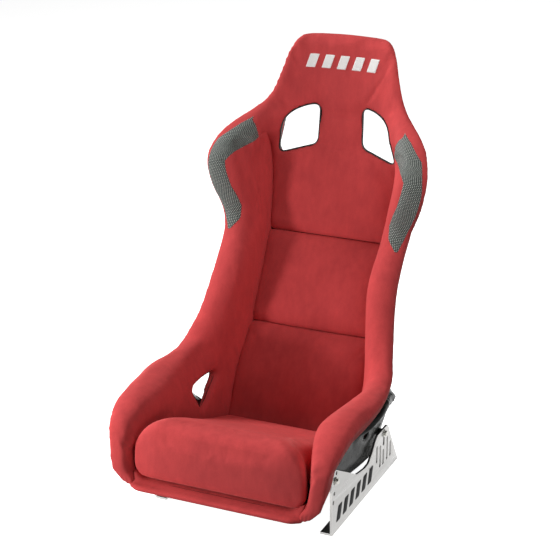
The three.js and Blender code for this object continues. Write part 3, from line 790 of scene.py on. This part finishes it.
class Opening:
    """An opening through the seat: an outline across one axis, grown by a margin at each depth."""

    def __init__(self, corners, radius, axis, side):
        self.outline = even(rounded(corners, radius))
        if axis == 1:
            self.outline[:, 0] *= side
        self.axis, self.side = axis, side
        along = np.roll(self.outline, -1, 0) - np.roll(self.outline, 1, 0)
        away = np.stack([along[:, 1], -along[:, 0]], -1) / np.linalg.norm(along, axis=1)[:, None]
        middle = self.outline.mean(0)
        turn = np.sign(np.sum(away * (self.outline - middle)))
        self.away = away * turn

    def ring(self, margin, depth, shift=(0, 0)):
        points = np.empty((len(self.outline), 3))
        points[:, [0, 2] if self.axis == 1 else [1, 2]] = self.outline + margin * self.away + shift
        points[:, self.axis] = depth
        points[:, 1] -= MIDDLE_Y
        return points * MM

    def depth_of(self, skin, margin, start, towards, shift=(0, 0)):
        """How deep a skin lies all round the opening, found from a starting depth."""
        direction = np.zeros(3)
        direction[self.axis] = towards
        there = met(skin, self.ring(margin, start, shift), np.tile(direction, (len(self.outline), 1)))
        return there[:, self.axis] / MM + (MIDDLE_Y if self.axis == 1 else 0)

    def solid(self, name, profile, look=None, body=None, hollow=False):
        """A loft through the opening, from margins, depths and shifts; a hollow one closes on itself."""
        rings = [self.ring(*at) for at in profile]
        if hollow:
            rings.append(rings[0])
        return loft(name, rings, look or TRIM, body, capped=not hollow)


belt_slots = {side: Opening(SLOT_CORNERS, SLOT_ROUND, 1, side) for side in (1, -1)}
lap_slots = {side: Opening(LAP_CORNERS, LAP_ROUND, 0, side) for side in (1, -1)}
SIDE_NAMES = {1: "left", -1: "right"}


def taken_out(piece, tool):
    cut(piece, tool)
    discard(tool)


# ---- The shell ----

BULGE = 32  # how far the shell stands out round a lap-belt opening
BULGE_MIDDLE = (58, 172)
BULGE_SIZE = (100, 56)
BULGE_END = 1.25  # where it has died away and how softly, as shares of its size
BULGE_FADE = 0.6
RIDGE = 3  # the ridge round it: height, then place and softness as shares of its size
RIDGE_AT = 0.86
RIDGE_SOFT = 0.05
SIDE_FROM = 150  # the half-width from which the shell's wall counts as its side
SIDE_FADE = 30
MOUNT_TOP = 122  # height of a side mount near its rear bolt
MOUNT_SPARE = 8
MOUNT_INSIDE = 203  # how wide the shell may be between the side mounts
MOUNT_EASE = 16
ROOM_ABOVE = 60  # how much wider it may be above them, reached over the same height
FRONT_BOLT_Y = -183
TILT = math.radians(5)


def shell_ring(s):
    return place(s, np.concatenate([across(shell_line(s)), across(shell_line(s, SHELL_T))[::-1]]))


def room_for(points):
    """How wide the shell may be, so that tilting doesn't drive it into a side mount."""
    y, z = points[:, 1] / MM + MIDDLE_Y, points[:, 2] / MM
    reached = MOUNT_TOP + (y - FRONT_BOLT_Y) * math.sin(TILT) + MOUNT_SPARE
    return MOUNT_INSIDE + ROOM_ABOVE * eased((z - reached) / ROOM_ABOVE)


def drawn_in(wide, limit):
    """A half-width that eases up to a limit."""
    over = np.maximum(wide - limit + MOUNT_EASE, 0)
    return np.where(over > 0, limit - MOUNT_EASE * np.exp(-over / MOUNT_EASE), wide)


def bulged(points):
    """The shell's points with its two sides pushed out round the lap-belt openings."""
    y, z = points[:, 1] / MM + MIDDLE_Y, points[:, 2] / MM
    off = np.hypot((y - BULGE_MIDDLE[0]) / BULGE_SIZE[0], (z - BULGE_MIDDLE[1]) / BULGE_SIZE[1])
    wide, limit = np.abs(points[:, 0]) / MM, room_for(points)
    share = eased((BULGE_END - off) / BULGE_FADE) * eased((wide - SIDE_FROM) / SIDE_FADE)
    ridge = RIDGE * np.exp(-(((off - RIDGE_AT) / RIDGE_SOFT) ** 2)) * (wide > SIDE_FROM)
    pushed = drawn_in(wide + BULGE * share + ridge, limit) - drawn_in(wide, limit)
    out = points.copy()
    out[:, 0] += np.sign(points[:, 0]) * pushed * MM
    return out


shell = loft("shell_smooth", sections(shell_ring, NOSE_END + 0.14, CROWN - 0.1, 12), GELCOAT)
bed = skin_of(shell)
set_positions(shell.data, bulged(positions(shell.data)))
shell_skin = skin_of(shell)

# ---- Bolsters ----


def bolster_ring(s):
    inner = s.seam - NOSE_TUCK * nose_share(s)
    return place(s, np.concatenate([tucked_in(s, bolster_line(s)), hem_line(s), under_line(s, inner)]))


def tucked_in(s, line):
    """The bolster's face with its inner edge drawn over the end of the front lip."""
    line = line.copy()
    line[0] -= [NOSE_TUCK * nose_share(s), 3 * nose_share(s)]
    return line


def nose_ring(s):
    """In front of the shell, where the bolster is padding all through."""
    line = cover_line(s)
    inner = s.seam - NOSE_TUCK * nose_share(s)
    under = kept(line, index_at_x(line, inner), index_at_share(shell_line(s), s.join))[::-1]
    return place(s, np.concatenate([tucked_in(s, bolster_line(s)), hem_line(s), under]))


VOXEL = 5 * MM
BED_REACH = 9 * MM  # padding nearer than this to the shell is held by it
SEAM_REACH = 6 * MM
LAP_ROLL = [(18, -60), (18, -7), (11, 0), (5, 5), (1.5, 11), (0, 18)]  # margins and depths below the face
LAP_SLANT = (64, -28)  # how far back and down a lap-belt opening is on the shell's outside

# The small gathers in the cover of a front corner: where each ends below, and how far it leans.
GATHERS = [(203, 4), (210, 7), (219, 9)]
GATHER_TOP = (-341, 122)
GATHER_FALL = (6, -30)
GATHER_DEPTH = 2.4 * MM
GATHER_WIDTH = 2.8 * MM


def seam_mark(s):
    return place(s, [[s.seam, s.lift - SEAM_DIP]])[0]


seam_marks = np.array(sections(seam_mark, HIP - 1, SHOULDER, 40))
seam_marks = np.concatenate([seam_marks, seam_marks * [-1, 1, 1]])


def held_by_bed(piece):
    """1 where a pad lies on the shell or a long seam, and less beside the seam."""
    points = positions(piece.data)
    on_bed = near_skin(bed, points, BED_REACH)
    return np.maximum(on_bed, 1 - near_points(seam_marks, points, 2 * SEAM_REACH))


def gather(x, lean):
    down = np.linspace(0, 1, 24)
    y, z = GATHER_TOP
    line = [x + lean * (1 - down), y - MIDDLE_Y + GATHER_FALL[0] * down, z + GATHER_FALL[1] * down]
    return np.stack(line, -1) * MM


bolster_rings = sections(nose_ring, 0, NOSE_END, 12)
bolster_rings += sections(bolster_ring, NOSE_END + 0.05, SHOULDER + 0.2, 10)
left_bolster = loft("bolster_cover_left", bolster_rings, RED)
lap_face = lap_slots[1].depth_of(skin_of(left_bolster), 0, 100, 1)
lap_profile = [(margin, lap_face + depth) for margin, depth in LAP_ROLL]
taken_out(left_bolster, lap_slots[1].solid("lap_tool", [*lap_profile, (0, lap_face + 60)]))
remeshed(left_bolster, VOXEL)
stuffed(left_bolster, held_by_bed(left_bolster))
finer(left_bolster)
pressed(left_bolster, [gather(*row) for row in GATHERS], GATHER_DEPTH, GATHER_WIDTH)
right_bolster = mirrored(left_bolster, "bolster_cover_right")
for side, piece in ((1, left_bolster), (-1, right_bolster)):
    soft_piece(piece, f"side_bolster_{SIDE_NAMES[side]}")

LAP_CUT = 2  # how much wider than the padding's opening the shell's is, inside and outside
LAP_FLARE = 9
OUT_OF_SEAT = 320  # a half-width outside everything
LAP_BEND = 236  # the half-width where the shell's opening stops slanting


def lap_tunnel(side, lap):
    outside = lap.depth_of(shell_skin, 8, side * OUT_OF_SEAT, -side, LAP_SLANT)
    inside = side * (lap_face + 13)
    lined = [(-0.4, inside)]
    for share in (0.33, 0.66):
        lined.append((8 * share - 0.4, inside + share * (outside - inside), np.multiply(LAP_SLANT, share)))
    for margin, past in ((7.6, 1), (LAP_FLARE, 1.8), (12, 1), (12, -3)):
        lined.append((margin, outside + side * past, LAP_SLANT))
    lined.append((3, inside))
    tunnel = lap.solid(f"lap_slot_tunnel_{SIDE_NAMES[side]}", lined, GELCOAT, "seat", hollow=True)
    ends = positions(tunnel.data)
    ends[:, 0] = side * drawn_in(side * ends[:, 0] / MM, room_for(ends) + 2) * MM
    set_positions(tunnel.data, ends)


for side, lap in lap_slots.items():
    lap_tunnel(side, lap)

# ---- Centre pads ----


PAD_TUCK = 3  # how far a pad's edge goes on below the bolster's


def pad_ring(s):
    edge = s.seam + PAD_TUCK
    face = panel_line(s) * [edge / s.seam, 1] - [0, cross_dip(s)]
    line = shell_line(s, UNDER)
    under = kept(line, 0, index_at_x(line, edge))
    return place(s, np.concatenate([across(face), across(under)[::-1]]))


def head_ring(s):
    half = np.concatenate([panel_line(s)[:-1], bolster_line(s), hem_line(s), under_line(s, 0)])
    return place(s, both_halves(half))


def crown_ring(s):
    """Past the shell's edge the head is padding all through, and its top edge is a roll."""
    line = shell_line(s, SHELL_T + COVER_T)
    under = kept(line, 0, index_at_share(shell_line(s), s.join))[::-1]
    half = np.concatenate([panel_line(s)[:-1], bolster_line(s), hem_line(s), under])
    up = clipped((s.z - STATIONS[-1][1]) / CROWN_ROUND + 1)
    inset = CROWN_ROUND * (1 - math.sqrt(1 - up * up))
    middle = (half[:, 1].max() + half[:, 1].min()) / 2
    deep = (half[:, 1].max() - half[:, 1].min()) / 2
    shares = [1 - inset / half[:, 0].max(), max(1 - inset / deep, 0.08)]
    return place(s, both_halves((half - [0, middle]) * shares + [0, middle]))


cross_marks = []
for seam in (LOWER_SEAM, UPPER_SEAM):
    s = station_at(seam)
    cross_marks += list(place(s, [[x, -CROSS_DIP] for x in np.linspace(-s.seam, s.seam, 120)]))


def held_pad(piece):
    at_seam = 1 - near_points(cross_marks, positions(piece.data), 2 * SEAM_REACH)
    return np.maximum(held_by_bed(piece), at_seam)


PAD_ROWS = 26
lumbar = loft("lumbar_cover", sections(pad_ring, HIP, LOWER_SEAM, PAD_ROWS), RED)
middle_back = loft("middle_back_cover", sections(pad_ring, LOWER_SEAM, UPPER_SEAM, PAD_ROWS), RED)
for piece, node in ((lumbar, "lumbar_pad"), (middle_back, "middle_back_pad")):
    remeshed(piece, VOXEL, 4)
    stuffed(piece, held_pad(piece), limit=5 * MM)
    finer(piece)
    soft_piece(piece, node)

upper = loft("upper_back", sections(pad_ring, UPPER_SEAM, SHOULDER + 0.1, PAD_ROWS), RED)
head_rings = sections(head_ring, SHOULDER - 0.2, CROWN, 12)
head_rings += sections(crown_ring, CROWN + 0.05, LAST - 0.4, 12)
head_rings += sections(crown_ring, LAST - 0.38, LAST, 40)
head = loft("head_cover", head_rings, RED)
cut(head, upper, "UNION")
discard(upper)

# The belt slots are lined to a short depth and widen behind that, so that a belt doesn't chafe.
SLOT_LINING = 6
SLOT_FLARE = 20
BEFORE_HEAD = 200
BEHIND_HEAD = 470
head_skin = skin_of(head)
for side, slot in belt_slots.items():
    front = slot.depth_of(head_skin, 0, BEFORE_HEAD, 1)
    back = slot.depth_of(shell_skin, SLOT_FLARE + 3, BEHIND_HEAD, -1)
    tool = [(0, BEFORE_HEAD + 40), (0, front + SLOT_LINING)]
    tool += [(SLOT_FLARE, back - 3), (SLOT_FLARE, BEHIND_HEAD)]
    taken_out(head, slot.solid("slot_tool", tool))
    taken_out(shell, slot.solid("slot_tool", tool))
    lined = [
        (2, front + 2), (0.4, front + 1.6), (-0.4, front + 2.4), (-0.4, front + SLOT_LINING),
        (SLOT_FLARE - 3.5, back + 0.6), (SLOT_FLARE + 2.5, back + 1.6), (SLOT_FLARE + 2.5, back + 0.4),
        (SLOT_FLARE - 2, back - 2), (2, front + SLOT_LINING),
    ]
    trim = slot.solid(f"belt_slot_edge_{SIDE_NAMES[side]}", lined, TRIM, "seat", hollow=True)
    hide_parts(f"belt_slot_trim_{SIDE_NAMES[side]}")
remeshed(head, VOXEL)
stuffed(head, held_pad(head))
finer(head)
soft_piece(head, "head_and_upper_back_pad")

# ---- Rolled hem, where the covers end on the outside of the shell ----

HEM_SPARE = 1.2  # how far the roll stands out past the cover's thickness
HEM_TURN = np.linspace(0, 2 * math.pi, 17)[:-1]


def hem_ring(s):
    place_on_shell = index_at_share(shell_line(s), s.join)
    outside = hem_line(s)[-1]
    inside = point_at(shell_line(s, SHELL_T - 1), place_on_shell)
    radius = np.linalg.norm(outside - inside) / 2 + HEM_SPARE
    circle = np.column_stack([np.cos(HEM_TURN), np.sin(HEM_TURN)])
    return place(s, (outside + inside) / 2 + radius * circle)


left_hem = loft("rolled_hem_left", sections(hem_ring, NOSE_END + 1, CROWN, 12), RED)
for hem in (left_hem, mirrored(left_hem, "rolled_hem_right")):
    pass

for side, lap in lap_slots.items():
    slanted = [(LAP_CUT, side * SIDE_FROM), (LAP_CUT, side * (lap_face + 16))]
    slanted += [(LAP_FLARE, side * wide, LAP_SLANT) for wide in (LAP_BEND, OUT_OF_SEAT - 10)]
    taken_out(shell, lap.solid("lap_tool", slanted))
shaded_smooth(shell)
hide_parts("shell")

# ---- Front lip ----

LIP_OUTLINE = [
    (-278, 108.6), (-300, 112.6), (-320, 113.4), (-327, 110), (-333, 105.5),
    (-338, 105.5), (-343, 107.5), (-348.5, 105.5), (-350.5, 100), (-348, 95),
    (-341, 92.5), (-326, 93), (-306, 97), (-303, 108), (-278, 105.5),
]
LIP_HALF = 203
LIP_TAPER = 26  # over this length at each end the roll draws back into the front corner
LIP_ROLL_BACK = -326
LIP_MIDDLE_Z = 100  # height between the roll's upper and lower sides
CORNER_LENGTH = 34  # over this length at each end the cover rises to meet the front corner
CORNER_RISE = 16


def lip_ring(x):
    """The lip's section at half-width x: a roll in front of a trough."""
    outline = rounded(LIP_OUTLINE, 4, 2)
    drawn_back = 0.5 * eased((abs(x) - LIP_HALF + LIP_TAPER) / LIP_TAPER)
    forward = np.minimum(outline[:, 0] - LIP_ROLL_BACK, 0)
    outline[:, 0] -= drawn_back * forward
    outline[:, 1] += 3 * drawn_back * (outline[:, 1] < LIP_MIDDLE_Z)
    corner = eased((abs(x) - LIP_HALF + CORNER_LENGTH) / CORNER_LENGTH)
    behind = eased((outline[:, 0] - LIP_ROLL_BACK + 8) / 16)
    outline[:, 1] += CORNER_RISE * corner * behind * (outline[:, 1] > LIP_MIDDLE_Z)
    ring = np.column_stack([np.full(len(outline), x), outline[:, 0] - MIDDLE_Y, outline[:, 1]])
    return ring * MM


lip = loft("front_lip_cover", [lip_ring(x) for x in np.linspace(-LIP_HALF, LIP_HALF, 60)], RED)
remeshed(lip, 4 * MM)
finer(lip)
soft_piece(lip, "front_lip_pad")

# ---- Seat cushion ----

# From front to back: y, the height of the top and the half-width.
CUSHION = [
    (-323, 168, 170), (-321, 205, 194), (-314, 230, 203), (-302, 243, 200), (-284, 246, 193),
    (-265, 241, 185), (-228, 226, 177), (-206, 215, 174), (-150, 190, 173), (-90, 165, 172),
    (-30, 142, 171), (25, 121, 167), (46, 109, 156), (53, 97, 140),
]
CUSHION_UP = 4.2  # how far the cushion lies above the pan, for the tape strips under it
CREST_ROUND = 60
FOOT_ROUND = 30
PAN_STATIONS = 12
HELD_BELOW = ([-400, 50], [128, 70])  # at these two y, the cushion is held still below these heights


def pan_height(y):
    pan = np.array([(row[0], row[1]) for row in STATIONS[:PAN_STATIONS]], float)
    return float(np.interp(y, pan[:, 0], pan[:, 1]))


def cushion_ring(y, top, half):
    bottom = pan_height(y) + CUSHION_UP
    tall = top - bottom
    side = []
    for middle, radius, start in ((bottom, FOOT_ROUND, -90), (top, CREST_ROUND, 0)):
        radius = min(radius, 0.48 * tall)
        centre = [half - radius, middle + radius if start else middle - radius]
        for turn in np.radians(np.linspace(start, start + 90, 9)):
            side.append([centre[0] + radius * math.cos(turn), centre[1] + radius * math.sin(turn)])
    outline = np.array([*side, *[(-x, z) for x, z in reversed(side)]])
    return np.column_stack([outline[:, 0], np.full(len(outline), y - MIDDLE_Y), outline[:, 1]]) * MM


steps = np.linspace(0, len(CUSHION) - 1, 90)
cushion_sizes = np.stack([np.interp(steps, range(len(CUSHION)), c) for c in np.array(CUSHION, float).T], -1)
cushion = loft("cushion_cover", [cushion_ring(*row) for row in cushion_sizes], RED, "cushion")
remeshed(cushion, VOXEL)
points = positions(cushion.data)
low = points[:, 2] < np.interp(points[:, 1] / MM, *HELD_BELOW) * MM
stuffed(cushion, low.astype(float))
finer(cushion)
soft_piece(cushion, "seat_cushion")

# ---- Shoulder mesh ----

# The patch's two edges at each station, as places along the bolster's line of given points.
PATCH = [
    (17.75, 5.0, 5.35), (18.1, 3.8, 5.6), (18.5, 3.3, 5.7), (18.9, 3.45, 5.75), (19.3, 3.8, 5.8),
    (19.9, 4, 5.85), (20.5, 4.05, 5.75), (20.8, 3.6, 5.7), (21.2, 2.6, 5.65), (21.8, 1.2, 5.6),
    (22.1, 1.4, 5.3), (22.7, 2.4, 4.7), (23.2, 3.7, 3.95),
]
PATCH_ACROSS = 40
PATCH_ALONG = 180
PATCH_LIFT = 0.9 * MM
PATCH_EDGE = 3.0 * MM
PATCH_THICKNESS = 2.5 * MM


def patch_grid(lift):
    sizes = np.array(PATCH)
    points = []
    for u in np.linspace(sizes[0, 0], sizes[-1, 0], PATCH_ALONG):
        start, end = (np.interp(u, sizes[:, 0], sizes[:, c]) * LINE_STEPS for c in (1, 2))
        line = moved(bolster_line(station_at(u)), -lift)
        row = [point_at(line, w) for w in np.linspace(start, end, PATCH_ACROSS)]
        points.append(place(station_at(u), row))
    return np.array(points)


def grid_distances(grid):
    """Each grid point's distance from the first row and column, along the surface."""
    across = np.cumsum(np.linalg.norm(np.diff(grid, axis=1, prepend=grid[:, :1]), axis=2), axis=1)
    middle = grid[:, PATCH_ACROSS // 2]
    along = np.cumsum(np.linalg.norm(np.diff(middle, axis=0, prepend=middle[:1]), axis=1))
    return across, np.repeat(along[:, None], grid.shape[1], 1)


def laid_sheet(name, grid, outward, skin, look, lift, edge, thickness, weave=None):
    """A thin sewn-down sheet: a grid of points let down onto a skin, its edges sunk into it."""
    flat, out = grid.reshape(-1, 3), outward.reshape(-1, 3)
    on = met(skin, flat + 0.04 * out, -out, 0.09).reshape(grid.shape)
    across, along = weave or grid_distances(on)
    border = np.minimum(np.minimum(across, across[:, -1:] - across), np.minimum(along, along.max() - along))
    rise = lift * (2.2 * eased(border / edge) - 1.2)
    top = on + rise[..., None] * outward
    under = top - thickness * outward
    piece = loft(name, [np.concatenate([a, b[::-1]]) for a, b in zip(top, under)], look)
    places = np.stack([across, along, np.zeros_like(across)], -1)
    woven(piece, np.concatenate([np.concatenate([row, row[::-1]]) for row in places]))
    return piece


patch_points = patch_grid(0)
patch_out = patch_grid(10) - patch_points
patch_out /= np.linalg.norm(patch_out, axis=2)[..., None]
shoulder_skin = skin_of(left_bolster, head)
left_patch = laid_sheet(
    "shoulder_mesh_cover_left", patch_points, patch_out, shoulder_skin, MESH,
    PATCH_LIFT, PATCH_EDGE, PATCH_THICKNESS,
)
for piece, side in ((left_patch, 1), (mirrored(left_patch, "shoulder_mesh_cover_right"), -1)):
    soft_piece(piece, f"shoulder_mesh_{SIDE_NAMES[side]}")

# ---- Marks: plain slanted bars ----

HEAD_BARS = 5
HEAD_BAR_PITCH = 37.5
HEAD_BAR_HALF = 12
HEAD_BAR_SLANT = 10
HEAD_BAR_POINTS = 26
HEAD_MARK_LOW, HEAD_MARK_HIGH = 881, 914
HEAD_MARK_Y = 330  # the bars are let down onto the head from about here
SIDE_BARS = 6
SIDE_MARK = (-178, 46)  # from front to back
SIDE_MARK_HEIGHTS = (22, 58)
SIDE_BAR_SHARE = 0.62  # of the pitch
SIDE_BAR_SLANT = 12
PLATE_FACE = 215
head_skin = skin_of(head)


def head_bar(k):
    middle = (k - (HEAD_BARS - 1) / 2) * HEAD_BAR_PITCH
    over = np.linspace(-HEAD_BAR_HALF, HEAD_BAR_HALF, HEAD_BAR_POINTS)
    w, v = np.meshgrid(over, np.linspace(0, 1, HEAD_BAR_POINTS))
    x = middle + w + HEAD_BAR_SLANT * (v - 0.5)
    z = HEAD_MARK_LOW + (HEAD_MARK_HIGH - HEAD_MARK_LOW) * v
    grid = np.stack([x, np.full_like(x, HEAD_MARK_Y), z], -1) * MM
    out = np.tile([0.0, -1.0, 0.0], (*x.shape, 1))
    places = ((w + HEAD_BAR_HALF) * MM, (z - HEAD_MARK_LOW) * MM)
    laid_sheet(f"head_mark_bar_{k + 1}", grid, out, head_skin, THREAD, 1 * MM, 2 * MM, 2 * MM, places)


def side_bar(side, k):
    pitch = (SIDE_MARK[1] - SIDE_MARK[0]) / SIDE_BARS
    start = SIDE_MARK[0] + k * pitch
    end = start + SIDE_BAR_SHARE * pitch
    low, high = SIDE_MARK_HEIGHTS
    corners = [(start, low), (end, low), (end + SIDE_BAR_SLANT, high), (start + SIDE_BAR_SLANT, high)]
    bar = Opening(corners, 4, 0, side)
    profile = [(0, PLATE_FACE + 0.02), (0, PLATE_FACE + 0.3), (-0.4, PLATE_FACE + 0.45)]
    profile = [(margin, side * depth) for margin, depth in profile]
    piece = bar.solid(f"side_mark_bar_{SIDE_NAMES[side]}_{k + 1}", profile, PAINT, "mounts")


for k in range(HEAD_BARS):
    head_bar(k)
for side in (1, -1):
    for k in range(SIDE_BARS):
        side_bar(side, k)

# ---- Hardware: the CAD pieces with their edges broken ----

# By the start of their names: the material, its slot and the width of the bevel.
HARDWARE = {
    "side_mount": (ALLOY, "polished_alloy", 0.7),
    "spacer": (ALLOY, "polished_alloy", 0.5),
    "bolt": (ZINC, "zinc_steel", 0.5),
    "washer": (ZINC, "zinc_steel", 0.25),
    "insert": (ZINC, "zinc_steel", 0.4),
    "hook_strip": (TAPE, "hook_tape", 0.2),
    "loop_strip": (TAPE, "hook_tape", 0.2),
}


def edge_broken(node_name, look, slot, width):
    node = frame["nodes"][node_name]
    piece = bpy.data.objects.new(f"{node_name}_finished", node.data.copy())
    bpy.context.collection.objects.link(piece)
    bm = bmesh.new()
    bm.from_mesh(piece.data)
    bmesh.ops.remove_doubles(bm, verts=bm.verts, dist=1e-6)
    bmesh.ops.dissolve_limit(bm, angle_limit=math.radians(1), verts=bm.verts, edges=bm.edges)
    bm.to_mesh(piece.data)
    bm.free()
    modified(piece, "BEVEL", width=width * MM, segments=2, angle_limit=math.radians(35))
    shaded_smooth(piece)
    piece.data.set_sharp_from_angle(angle=math.radians(32))
    piece.data.materials.clear()
    piece.data.materials.append(look)
    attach(piece, node["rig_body"])
    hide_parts(node_name)


for node_name in list(frame["nodes"]):
    for start, (look, slot, width) in HARDWARE.items():
        if node_name.startswith(start):
            edge_broken(node_name, look, slot, width)
